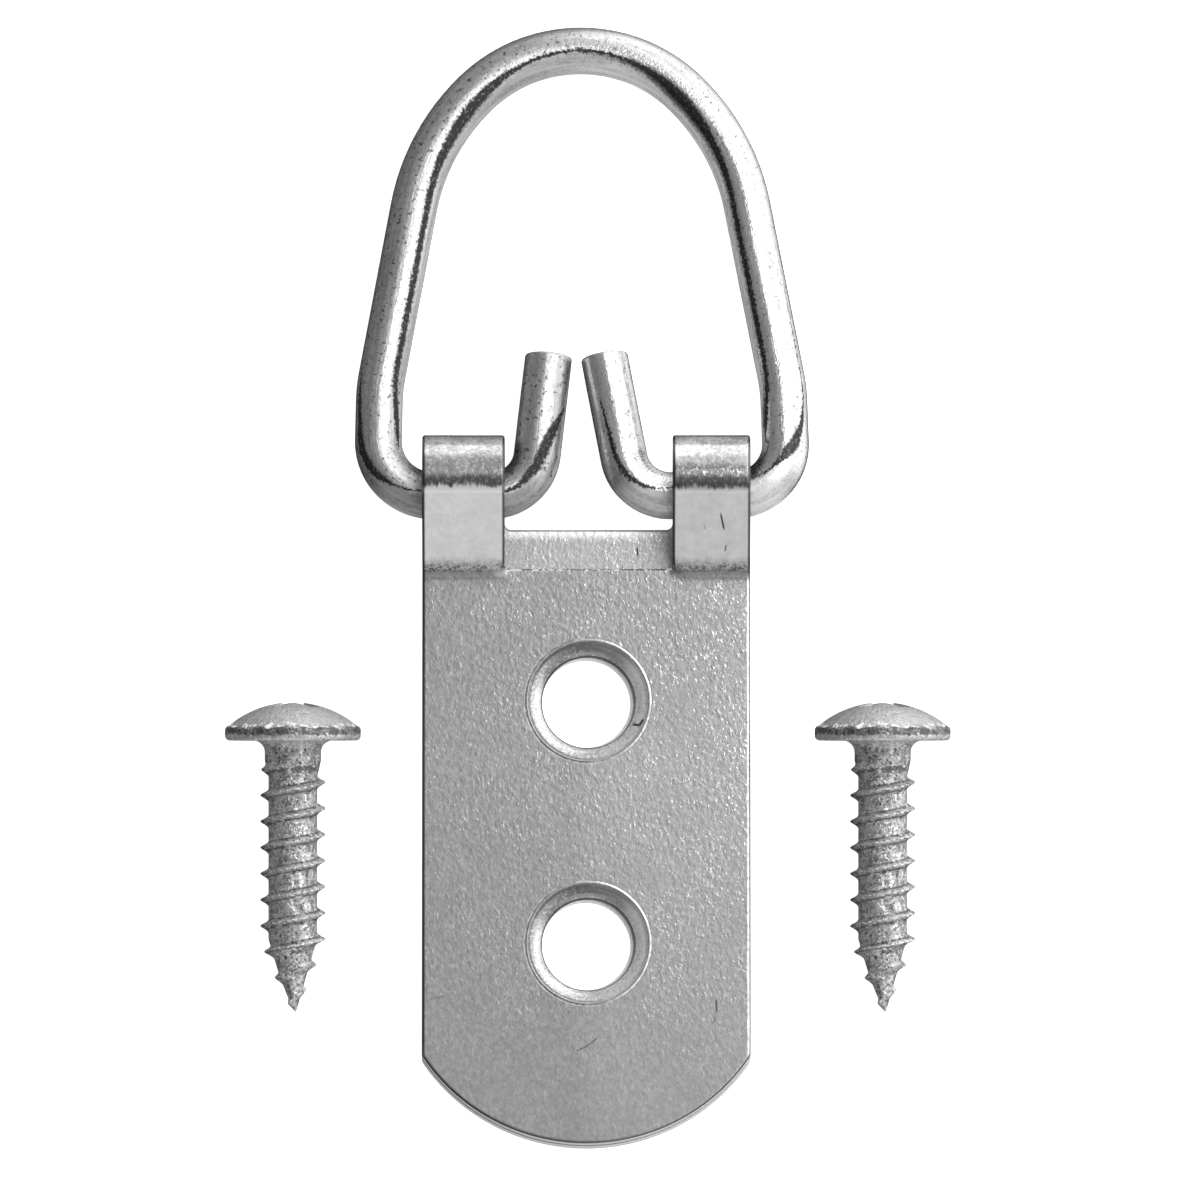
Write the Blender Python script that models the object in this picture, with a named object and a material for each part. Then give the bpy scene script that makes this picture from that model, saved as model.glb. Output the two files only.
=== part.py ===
"""Two-hole strap hanger with a swinging wire ring, and its two loose screws.

Frame: the strap's back face lies in Z = 0 with its face normal along +Z, the
ring lies toward +Y, and the origin is on the back face midway between the two
screw holes.  Units are metres; the dimensions below are in millimetres.
"""

import math

import bmesh
import bpy
from mathutils import Matrix, Vector

MM = 0.001

# ---------------------------------------------------------------- dimensions
# Strap: one sheet blank folded over at +Y into a front and a back leaf.
SHEET = 0.72             # sheet thickness
LEAF_GAP = 0.06          # air between the two leaves
STRAP_W = 17.5
FRONT_TOE_R = 10.46      # the rounded lower end, struck from near the lower hole
BACK_TOE_R = 10.53
TOE_CENTRE_Y = -6.89
FOLD_FOOT_Y = 13.55      # front leaf bends up here toward the knuckle
FOLD_CREST_Y = 17.55     # and bends back level here
KNUCKLE_H = 5.35         # front of the knuckle above the back face
KNUCKLE_TOP_Y = 20.67
FRONT_ROLL = 2.25        # mid-sheet radius at the front of the knuckle's top
WINDOW_X = (-4.35, 4.60)  # gap between the two tongues
WINDOW_FRONT_Y = 13.68
WINDOW_BACK_Y = 15.98
HOLE_X = 0.10
HOLE_PITCH = 13.1
CSK_R = 3.35             # countersink at the front face
CSK_THROAT_R = 2.50      # at the back of the front leaf
BACK_HOLE_R = 2.38
BACK_HOLE_SHIFT = (-0.14, 0.0)

# Ring: one bent wire.
WIRE_R = 1.26
HINGE_Y = 17.57
HINGE_Z = 2.20
FLOOR_CLEAR = 0.03
# Bend points of the wire's centreline (x, y) and the bend radius at each.
RING_BENDS = [
    ((-2.01, 25.16), 0.0),
    ((-2.87, 17.53), 2.50),
    ((-11.16, 17.53), 2.95),
    ((-11.03, 23.39), 9.0),
    ((-8.55, 36.97), 11.9),
    ((-3.59, 41.93), 7.9),
    ((2.99, 41.93), 7.9),
    ((7.91, 36.97), 11.9),
    ((10.52, 23.39), 9.0),
    ((10.73, 17.61), 2.75),
    ((2.41, 17.50), 2.50),
    ((0.95, 25.16), 0.0),
]

# Screws: No. 6 pan-head tapping screw, 3.5 mm thread.
HEAD_R = 3.62
HEAD_H = 2.05
DOME_R = 3.22            # the dome ends inside a rounded shoulder
DOME_FOOT = 0.85         # height of the dome's edge
SHANK_L = 14.45
NECK_R = 1.50
CREST_R = 1.76
ROOT_R = 1.30
PITCH = 1.39
POINT_L = 3.9
THREAD_START = 1.05      # below the head
SCREW_X = (-15.61, 15.77)
SCREW_HEAD_Y = 4.02      # underside of the head on the screw's axis
SCREW_PHASE = 0.09       # where the thread starts, in turns


# ------------------------------------------------------------------- helpers
def clear_scene():
    for ob in list(bpy.data.objects):
        bpy.data.objects.remove(ob, do_unlink=True)


def collection(name):
    col = bpy.data.collections.new(name)
    bpy.context.scene.collection.children.link(col)
    return col


def material(name, colour, roughness, metallic):
    mat = bpy.data.materials.new(name)
    mat.use_nodes = True
    bsdf = mat.node_tree.nodes["Principled BSDF"]
    bsdf.inputs["Base Color"].default_value = (*colour, 1.0)
    bsdf.inputs["Roughness"].default_value = roughness
    bsdf.inputs["Metallic"].default_value = metallic
    return mat


def rounded_path(points, radii, step_deg):
    """Polyline through `points` with each inner corner rounded to its radius."""
    path = [Vector(points[0])]
    for i in range(1, len(points) - 1):
        a, b, c = Vector(points[i - 1]), Vector(points[i]), Vector(points[i + 1])
        u, v = (a - b).normalized(), (c - b).normalized()
        corner = u.angle(v)
        setback = radii[i] / math.tan(corner / 2)
        start, end = b + u * setback, b + v * setback
        centre = b + (u + v).normalized() * (radii[i] / math.sin(corner / 2))
        a0 = math.atan2(start.y - centre.y, start.x - centre.x)
        a1 = math.atan2(end.y - centre.y, end.x - centre.x)
        turn = (a1 - a0 + math.pi) % (2 * math.pi) - math.pi
        n = max(2, round(abs(math.degrees(turn)) / step_deg))
        for k in range(n + 1):
            ang = a0 + turn * k / n
            p = centre + radii[i] * Vector((math.cos(ang), math.sin(ang)))
            if (p - path[-1]).length > 1e-4:
                path.append(p)
    path.append(Vector(points[-1]))
    return path


def offset_path(path, distance):
    """Parallel copy of a smooth path, to the left for a positive distance."""
    out = []
    for i, p in enumerate(path):
        before = path[max(i - 1, 0)]
        after = path[min(i + 1, len(path) - 1)]
        t1 = (p - before).normalized() if i else (after - p).normalized()
        t2 = (after - p).normalized() if i < len(path) - 1 else t1
        n1, n2 = Vector((-t1.y, t1.x)), Vector((-t2.y, t2.x))
        n = (n1 + n2).normalized()
        out.append(p + n * (distance / n.dot(n1)))
    return out


def outline_mesh(name, outline, low, high):
    """Closed mesh of a flat outline, extruded in Z from `low` to `high` (mm)."""
    curve = bpy.data.curves.new(name + "_outline", "CURVE")
    curve.dimensions = "2D"
    curve.fill_mode = "BOTH"
    curve.extrude = (high - low) / 2
    spline = curve.splines.new("POLY")
    spline.points.add(len(outline) - 1)
    for point, p in zip(spline.points, outline):
        point.co = (p[0], p[1], 0.0, 1.0)
    spline.use_cyclic_u = True
    temp = bpy.data.objects.new(name + "_outline", curve)
    bpy.context.scene.collection.objects.link(temp)
    temp.location.z = (low + high) / 2
    bpy.context.view_layer.update()
    deps = bpy.context.evaluated_depsgraph_get()
    mesh = bpy.data.meshes.new_from_object(temp.evaluated_get(deps))
    mesh.transform(temp.matrix_world)
    bpy.data.objects.remove(temp, do_unlink=True)
    bm = bmesh.new()
    bm.from_mesh(mesh)
    bmesh.ops.remove_doubles(bm, verts=bm.verts, dist=1e-4)
    bmesh.ops.recalc_face_normals(bm, faces=bm.faces)
    bm.to_mesh(mesh)
    bm.free()
    # drawn in millimetres, so that the fill keeps the thin gaps, then scaled
    mesh.transform(Matrix.Scale(MM, 4))
    mesh.name = name
    return mesh


def cutter(name, mesh, col):
    ob = bpy.data.objects.new(name, mesh)
    ob.hide_render = True
    ob.display_type = "WIRE"
    col.objects.link(ob)
    return ob


def cone_cutter(name, r_low, r_high, low, high, x, y, col):
    bm = bmesh.new()
    bmesh.ops.create_cone(
        bm, cap_ends=True, segments=40, radius1=r_low * MM, radius2=r_high * MM,
        depth=(high - low) * MM,
        matrix=Matrix.Translation((x * MM, y * MM, (low + high) / 2 * MM)))
    mesh = bpy.data.meshes.new(name)
    bm.to_mesh(mesh)
    bm.free()
    return cutter(name, mesh, col)


def cut(ob, tool):
    mod = ob.modifiers.new(tool.name, "BOOLEAN")
    mod.operation = "DIFFERENCE"
    mod.solver = "EXACT"
    mod.object = tool


# --------------------------------------------------------------------- strap
def build_strap(col, cutters, mat):
    front_mid = SHEET + LEAF_GAP + SHEET / 2
    back_mid = SHEET / 2
    crest = KNUCKLE_H - SHEET / 2
    back_roll = crest - back_mid - FRONT_ROLL
    top = KNUCKLE_TOP_Y - SHEET / 2
    low_end = TOE_CENTRE_Y - BACK_TOE_R - 0.5

    # Side view of the folded sheet: (y, z) of its middle surface.
    middle = rounded_path(
        [(low_end, front_mid), (FOLD_FOOT_Y, front_mid), (FOLD_CREST_Y, crest),
         (top, crest), (top, back_mid), (low_end, back_mid)],
        [0.0, 1.0, 0.5, FRONT_ROLL, back_roll, 0.0], 9.0)
    outline = offset_path(middle, SHEET / 2) + offset_path(middle, -SHEET / 2)[::-1]
    mesh = outline_mesh("strap", outline, -STRAP_W / 2, STRAP_W / 2)
    # outline x -> +Y, outline y -> +Z, extrusion -> +X
    mesh.transform(Matrix(((0, 0, 1, 0), (1, 0, 0, 0), (0, 1, 0, 0), (0, 0, 0, 1))))
    strap = bpy.data.objects.new("strap", mesh)
    strap.data.materials.append(mat)
    col.objects.link(strap)

    between = SHEET + LEAF_GAP / 2   # a level inside the air gap

    def toe(radius):
        # everything beyond the rounded lower end
        reach = STRAP_W / 2 + 1.0
        half = math.asin(reach / radius) if reach < radius else math.pi / 2
        arc = []
        for k in range(41):
            ang = -math.pi / 2 - half + 2 * half * k / 40
            arc.append((radius * math.cos(ang), TOE_CENTRE_Y + radius * math.sin(ang)))
        return arc + [(arc[-1][0], low_end - 2), (arc[0][0], low_end - 2)]

    cut(strap, cutter("cut_toe_front", outline_mesh(
        "cut_toe_front", toe(FRONT_TOE_R), between - 0.01, 4.0), cutters))
    cut(strap, cutter("cut_toe_back", outline_mesh(
        "cut_toe_back", toe(BACK_TOE_R), -1.0, between + 0.01), cutters))

    x0, x1 = WINDOW_X

    def window(y, corner):
        return rounded_path(
            [((x0 + x1) / 2, y), (x1, y), (x1, 26.0), (x0, 26.0), (x0, y),
             ((x0 + x1) / 2, y)],
            [0.0, corner, 0.2, 0.2, corner, 0.0], 22.5)[:-1]

    cut(strap, cutter("cut_window_front", outline_mesh(
        "cut_window_front", window(WINDOW_FRONT_Y, 0.35), between - 0.01, 9.0), cutters))
    cut(strap, cutter("cut_window_back", outline_mesh(
        "cut_window_back", window(WINDOW_BACK_Y, 0.35), -1.0, between + 0.01), cutters))

    face = 2 * SHEET + LEAF_GAP
    flare = (CSK_R - CSK_THROAT_R) / SHEET
    for label, y in (("upper", HOLE_PITCH / 2), ("lower", -HOLE_PITCH / 2)):
        low, high = between - 0.01, face + 0.10
        r_low = CSK_THROAT_R - flare * (SHEET + LEAF_GAP - low)
        r_high = CSK_R + flare * 0.10
        cut(strap, cone_cutter("cut_csk_" + label, r_low, r_high, low, high,
                               HOLE_X, y, cutters))
        cut(strap, cone_cutter("cut_hole_" + label, BACK_HOLE_R, BACK_HOLE_R,
                               -1.0, between + 0.01, HOLE_X + BACK_HOLE_SHIFT[0],
                               y + BACK_HOLE_SHIFT[1], cutters))
    return strap


# ---------------------------------------------------------------------- ring
def build_ring(col, mat):
    centre = rounded_path([p for p, _ in RING_BENDS], [r for _, r in RING_BENDS], 7.0)
    curve = bpy.data.curves.new("d_ring", "CURVE")
    curve.dimensions = "3D"
    curve.fill_mode = "FULL"
    curve.bevel_depth = WIRE_R * MM
    curve.bevel_resolution = 4
    curve.use_fill_caps = True
    curve.render_resolution_u = 0
    spline = curve.splines.new("POLY")
    spline.points.add(len(centre) - 1)
    for point, p in zip(spline.points, centre):
        point.co = (p.x * MM, (p.y - HINGE_Y) * MM, 0.0, 1.0)
    ring = bpy.data.objects.new("d_ring", curve)
    ring.data.materials.append(mat)
    # The ring lies out flat, its crown just clear of the surface.
    reach = max(p.y for p in centre) - HINGE_Y
    drop = HINGE_Z - WIRE_R - FLOOR_CLEAR
    ring.location = (0.0, HINGE_Y * MM, HINGE_Z * MM)
    ring.rotation_euler = (-math.asin(drop / reach), 0.0, 0.0)
    col.objects.link(ring)
    return ring


# -------------------------------------------------------------------- screws
def screw_profile():
    """(radius, height) rows from the top of the head to the point.

    Height 0 is the underside of the head and the shank runs down.
    """
    rows = [(0.0, HEAD_H)]
    dome = HEAD_H - DOME_FOOT
    ball = (DOME_R ** 2 + dome ** 2) / (2 * dome)
    for k in range(1, 7):
        r = DOME_R * k / 6
        rows.append((r, HEAD_H - ball + math.sqrt(ball ** 2 - r ** 2)))
    rows += [(HEAD_R - 0.12, DOME_FOOT - 0.11), (HEAD_R, DOME_FOOT - 0.27),
             (HEAD_R, 0.14), (HEAD_R - 0.14, 0.0)]
    fillet = 0.45
    for k in range(4):
        ang = math.pi / 2 * k / 3
        rows.append((NECK_R + fillet * (1 - math.sin(ang)),
                     -fillet * (1 - math.cos(ang))))
    per_turn = 6
    count = round((SHANK_L - THREAD_START) / PITCH * per_turn)
    for k in range(count):
        z = -THREAD_START - (SHANK_L - THREAD_START) * k / count
        rows.append((core_radius(z), z))
    rows.append((0.0, -SHANK_L))
    return rows


def core_radius(z):
    """Root radius of the thread at height z (negative, below the head)."""
    run_out = min(1.0, max(0.0, (-z - THREAD_START) / 0.9))
    body = NECK_R + (ROOT_R - NECK_R) * run_out
    to_tip = (SHANK_L + z) / POINT_L
    if to_tip < 1.0:
        body = ROOT_R * max(to_tip, 0.0) ** 0.85
    return body


def thread_rise(z, turn):
    """How far the thread stands above the root at height z and angle `turn`."""
    if z > -THREAD_START:
        return 0.0
    phase = (z / PITCH - turn + SCREW_PHASE) % 1.0
    ridge = max(0.0, 1.0 - abs(phase - 0.5) / 0.36)
    start = min(1.0, (-z - THREAD_START) / 0.7)
    to_tip = (SHANK_L + z) / POINT_L
    end = min(1.0, max(0.0, 0.25 + 0.9 * to_tip)) if to_tip < 1.0 else 1.0
    return (CREST_R - ROOT_R) * ridge * start * end


def build_screw(name, x, col, cutters, mat):
    rows = screw_profile()
    sides = 18
    bm = bmesh.new()
    # A flat grid, rolled up round the axis; its end rows close to points.
    bmesh.ops.create_grid(bm, x_segments=len(rows) - 1, y_segments=sides, size=1.0)
    for v in bm.verts:
        row = round((v.co.x + 1) / 2 * (len(rows) - 1))
        turn = round((v.co.y + 1) / 2 * sides) % sides / sides
        r, z = rows[row]
        if 0 < row < len(rows) - 1:
            r += thread_rise(z, turn)
        ang = 2 * math.pi * turn
        v.co = Vector((r * math.cos(ang), r * math.sin(ang), z)) * MM
    bmesh.ops.remove_doubles(bm, verts=bm.verts, dist=1e-7)
    bmesh.ops.recalc_face_normals(bm, faces=bm.faces)
    mesh = bpy.data.meshes.new(name)
    bm.to_mesh(mesh)
    bm.free()
    screw = bpy.data.objects.new(name, mesh)
    screw.data.materials.append(mat)
    col.objects.link(screw)

    # It lies on its head's rim and its last full thread.
    last_crest = -(SHANK_L - POINT_L - 0.4)
    tilt = math.atan2(HEAD_R - CREST_R, 0.14 - last_crest)
    turn = Matrix.Rotation(tilt - math.pi / 2, 4, "X")
    lowest = min((turn @ v.co).z for v in mesh.vertices)
    screw.rotation_euler = (tilt - math.pi / 2, 0.0, 0.0)
    screw.location = (x * MM, SCREW_HEAD_Y * MM, FLOOR_CLEAR * MM - lowest)

    # Cross recess: two tapered blades.
    for k, ang in enumerate((math.radians(50), math.radians(140))):
        bm = bmesh.new()
        bmesh.ops.create_cube(bm, size=1.0)
        for v in bm.verts:
            deep = v.co.z < 0
            v.co = Vector((v.co.x * (1.3 if deep else 4.1),
                           v.co.y * (0.55 if deep else 0.85),
                           HEAD_H - 1.35 if deep else HEAD_H + 0.25)) * MM
        bmesh.ops.transform(bm, matrix=Matrix.Rotation(ang, 4, "Z"), verts=bm.verts)
        blade = bpy.data.meshes.new(f"cut_{name}_{k}")
        bm.to_mesh(blade)
        bm.free()
        tool = cutter(f"cut_{name}_{k}", blade, cutters)
        tool.parent = screw
        cut(screw, tool)
    return screw


def main():
    clear_scene()
    parts = collection("d_ring_picture_hanger")
    cutters = collection("cutters")
    build_strap(parts, cutters, material("strap_zinc", (0.62, 0.62, 0.61), 0.42, 1.0))
    build_ring(parts, material("ring_zinc", (0.70, 0.70, 0.70), 0.22, 1.0))
    zinc = ((0.64, 0.64, 0.63), 0.36, 1.0)
    for name, x in zip(("screw_left", "screw_right"), SCREW_X):
        build_screw(name, x, parts, cutters, material(name + "_zinc", *zinc))


main()
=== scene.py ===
"""Looks of the strap hanger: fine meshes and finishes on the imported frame.

The dimensions repeat the construction's, in millimetres.  The strap's back
face is in Z = 0, its front faces +Z, and the ring lies toward +Y.
"""

import math

import bmesh
import bpy
from mathutils import Matrix, Vector, noise
from mathutils.geometry import delaunay_2d_cdt


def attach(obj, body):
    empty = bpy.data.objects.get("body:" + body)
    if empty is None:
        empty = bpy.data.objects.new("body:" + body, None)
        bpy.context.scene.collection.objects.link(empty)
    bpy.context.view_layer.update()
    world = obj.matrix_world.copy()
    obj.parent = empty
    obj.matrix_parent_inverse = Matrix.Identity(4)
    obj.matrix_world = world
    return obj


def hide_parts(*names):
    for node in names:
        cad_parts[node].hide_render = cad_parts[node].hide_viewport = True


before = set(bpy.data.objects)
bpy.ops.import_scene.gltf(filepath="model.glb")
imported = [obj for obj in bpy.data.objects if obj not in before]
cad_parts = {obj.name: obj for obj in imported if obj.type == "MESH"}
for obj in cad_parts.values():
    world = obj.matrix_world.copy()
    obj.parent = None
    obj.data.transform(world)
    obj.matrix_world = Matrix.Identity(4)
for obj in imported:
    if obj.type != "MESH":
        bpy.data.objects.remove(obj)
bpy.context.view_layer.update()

MM = 0.001

# ---------------------------------------------------------------- dimensions
SHEET = 0.72
LEAF_GAP = 0.06
STRAP_W = 17.5
FRONT_TOE_R = 10.46
BACK_TOE_R = 10.53
TOE_CENTRE_Y = -6.89
FOLD_FOOT_Y = 13.55
FOOT_R = 1.35
FOLD_CREST_Y = 17.55
KNUCKLE_H = 5.35
KNUCKLE_TOP_Y = 20.67
FRONT_ROLL = 2.25
WINDOW_X = (-4.35, 4.60)
WINDOW_FRONT_Y = 13.68
WINDOW_BACK_Y = 15.98
WINDOW_CORNER = 0.35
HOLE_X = 0.10
HOLE_PITCH = 13.1
CSK_R = 3.27             # crest of the countersink's rim
CSK_BEAD = 0.020         # how far that rim stands above the flat
CSK_BEAD_R = 3.38        # where the flat starts to rise into it
CSK_THROAT_R = 2.50
BACK_HOLE_R = 2.38
BACK_HOLE_SHIFT = (-0.14, 0.0)
EDGE_R = 0.15            # die roll along the sheet's cut edges

WIRE_R = 1.26
HINGE_Y = 17.57
HINGE_Z = 2.20
FLOOR_CLEAR = 0.03
RING_BENDS = [
    ((-2.01, 25.16), 0.0),
    ((-2.87, 17.53), 2.50),
    ((-11.16, 17.53), 2.95),
    ((-11.03, 23.39), 9.0),
    ((-8.55, 36.97), 11.9),
    ((-3.59, 41.93), 7.9),
    ((2.99, 41.93), 7.9),
    ((7.91, 36.97), 11.9),
    ((10.52, 23.39), 9.0),
    ((10.73, 17.61), 2.75),
    ((2.41, 17.50), 2.50),
    ((0.95, 25.16), 0.0),
]

HEAD_R = 3.62
HEAD_H = 2.05
DOME_R = 3.22
DOME_FOOT = 0.85
SHANK_L = 14.45
NECK_R = 1.50
CREST_R = 1.76
ROOT_R = 1.30
PITCH = 1.39
POINT_L = 3.9
THREAD_START = 1.05
SCREW_X = (-15.61, 15.77)
SCREW_HEAD_Y = 4.02
SCREW_PHASE = 0.09


# ------------------------------------------------------------------- helpers
def clamp(t):
    return min(1.0, max(0.0, t))


def ease(lo, hi, value):
    t = clamp((value - lo) / (hi - lo))
    return t * t * (3 - 2 * t)


class Path:
    """Lines joined by tangent arcs; read by distance along it."""

    def __init__(self, corners, radii):
        self.spans = []          # (start, length, kind, data)
        self.length = 0.0
        here = Vector(corners[0])
        for i in range(1, len(corners) - 1):
            a, b, c = (Vector(p) for p in corners[i - 1:i + 2])
            u, v = (a - b).normalized(), (c - b).normalized()
            angle = u.angle(v)
            setback = radii[i] / math.tan(angle / 2)
            start, end = b + u * setback, b + v * setback
            centre = b + (u + v).normalized() * (radii[i] / math.sin(angle / 2))
            a0 = math.atan2(start.y - centre.y, start.x - centre.x)
            a1 = math.atan2(end.y - centre.y, end.x - centre.x)
            turn = (a1 - a0 + math.pi) % (2 * math.pi) - math.pi
            self._add((start - here).length, "line", (here, start))
            self._add(radii[i] * abs(turn), "arc", (centre, radii[i], a0, turn))
            here = end
        last = Vector(corners[-1])
        self._add((last - here).length, "line", (here, last))

    def _add(self, length, kind, data):
        if length > 1e-5:
            self.spans.append((self.length, length, kind, data))
            self.length += length

    def at(self, s):
        """Point and unit tangent at distance s."""
        span = self.spans[0]
        for candidate in self.spans:
            if candidate[0] <= s + 1e-9:
                span = candidate
        start, length, kind, data = span
        t = (s - start) / length
        if kind == "line":
            a, b = data
            return a + (b - a) * t, (b - a).normalized()
        centre, r, a0, turn = data
        ang = a0 + turn * t
        way = 1 if turn > 0 else -1
        return (centre + r * Vector((math.cos(ang), math.sin(ang))),
                way * Vector((-math.sin(ang), math.cos(ang))))

    def marks(self, line_step, arc_deg):
        """Distances that follow the bends closely and the lines loosely."""
        out = [0.0]
        for start, length, kind, data in self.spans:
            if kind == "line":
                n = max(1, round(length / line_step))
            else:
                n = max(6, round(abs(math.degrees(data[3])) / arc_deg))
            out += [start + length * (k + 1) / n for k in range(n)]
        return out


def new_object(name, verts, faces, vectors=None):
    """Mesh object from millimetre points; `vectors` are point attributes."""
    mesh = bpy.data.meshes.new(name)
    mesh.from_pydata([tuple(c * MM for c in v) for v in verts], [], faces)
    for key, values in (vectors or {}).items():
        attr = mesh.attributes.new(key, "FLOAT_VECTOR", "POINT")
        attr.data.foreach_set("vector", [c for v in values for c in v])
    bm = bmesh.new()
    bm.from_mesh(mesh)
    bmesh.ops.recalc_face_normals(bm, faces=bm.faces)
    bm.to_mesh(mesh)
    bm.free()
    mesh.shade_smooth()
    ob = bpy.data.objects.new(name, mesh)
    bpy.context.scene.collection.objects.link(ob)
    return ob


# --------------------------------------------------------------------- strap
def strap_path():
    front = SHEET + LEAF_GAP + SHEET / 2
    back = SHEET / 2
    crest = KNUCKLE_H - SHEET / 2
    top = KNUCKLE_TOP_Y - SHEET / 2
    return Path(
        [(TOE_CENTRE_Y - FRONT_TOE_R, front), (FOLD_FOOT_Y, front),
         (FOLD_CREST_Y, crest), (top, crest), (top, back),
         (TOE_CENTRE_Y - BACK_TOE_R, back)],
        [0.0, FOOT_R, 0.5, FRONT_ROLL, crest - back - FRONT_ROLL, 0.0])


def csk_profile():
    """(radius, height) down the countersink, from the flat to the sheet's back."""
    h = SHEET / 2
    outside = CSK_BEAD_R + 0.17
    rows = [(outside, h), (CSK_BEAD_R + 0.05, h)]
    for k in range(13):      # the rim stands up in a small bead
        r = CSK_BEAD_R + (CSK_R - CSK_BEAD_R) * k / 12
        rows.append((r, h + CSK_BEAD * ease(CSK_BEAD_R, CSK_R, r)))

    def slope(r):            # a small step inside the rim, then a floor that rolls in
        step = 50 * ease(CSK_R, 3.20, r) * ease(3.05, 3.13, r)
        return math.radians(step + 10 * ease(CSK_R, 3.15, r) + 32 * ease(3.05, 2.55, r))
    steps = 28
    r, w = rows[-1]
    dr = (CSK_R - CSK_THROAT_R) / steps
    for k in range(steps):
        w -= dr * math.tan(slope(r - dr / 2))
        r -= dr
        rows.append((r, w))
    rows += [(r - 0.035, w - 0.02), (r - 0.045, -h + 0.03), (r - 0.025, -h),
             (r + 0.05, -h), (outside, -h)]
    return rows


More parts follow.
